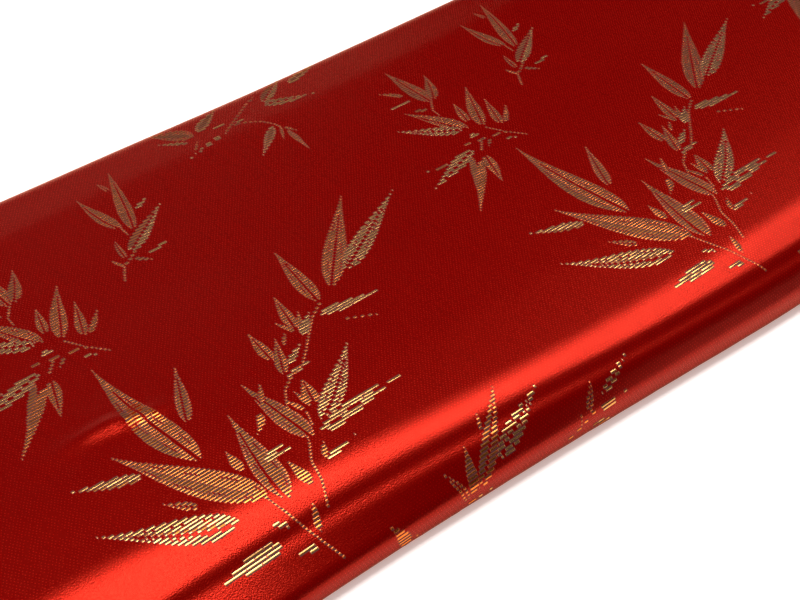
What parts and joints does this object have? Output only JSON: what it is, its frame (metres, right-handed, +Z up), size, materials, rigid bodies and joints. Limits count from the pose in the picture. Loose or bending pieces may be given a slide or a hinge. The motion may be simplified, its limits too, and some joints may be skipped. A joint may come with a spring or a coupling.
{
  "type": "folded cut length of satin brocade fabric",
  "caption": "Flat-wound cut length of red satin brocade with bamboo leaf sprays in gold weft, soft rounded folds and plain selvedges.",
  "frame": {"origin": "on the floor, under the middle of the folded stack", "axes": "+X along the folds, which is the weft; +Y from the near rounded fold to the far fold, which is the warp; +Z up through the layers"},
  "size_m": [0.735, 0.2076, 0.0199],
  "materials": {
    "red_satin_brocade": "glossy warp satin with gold weft figure"
  },
  "bodies": {
    "root": {"brocade_cloth": "red_satin_brocade"}
  },
  "joints": []
}
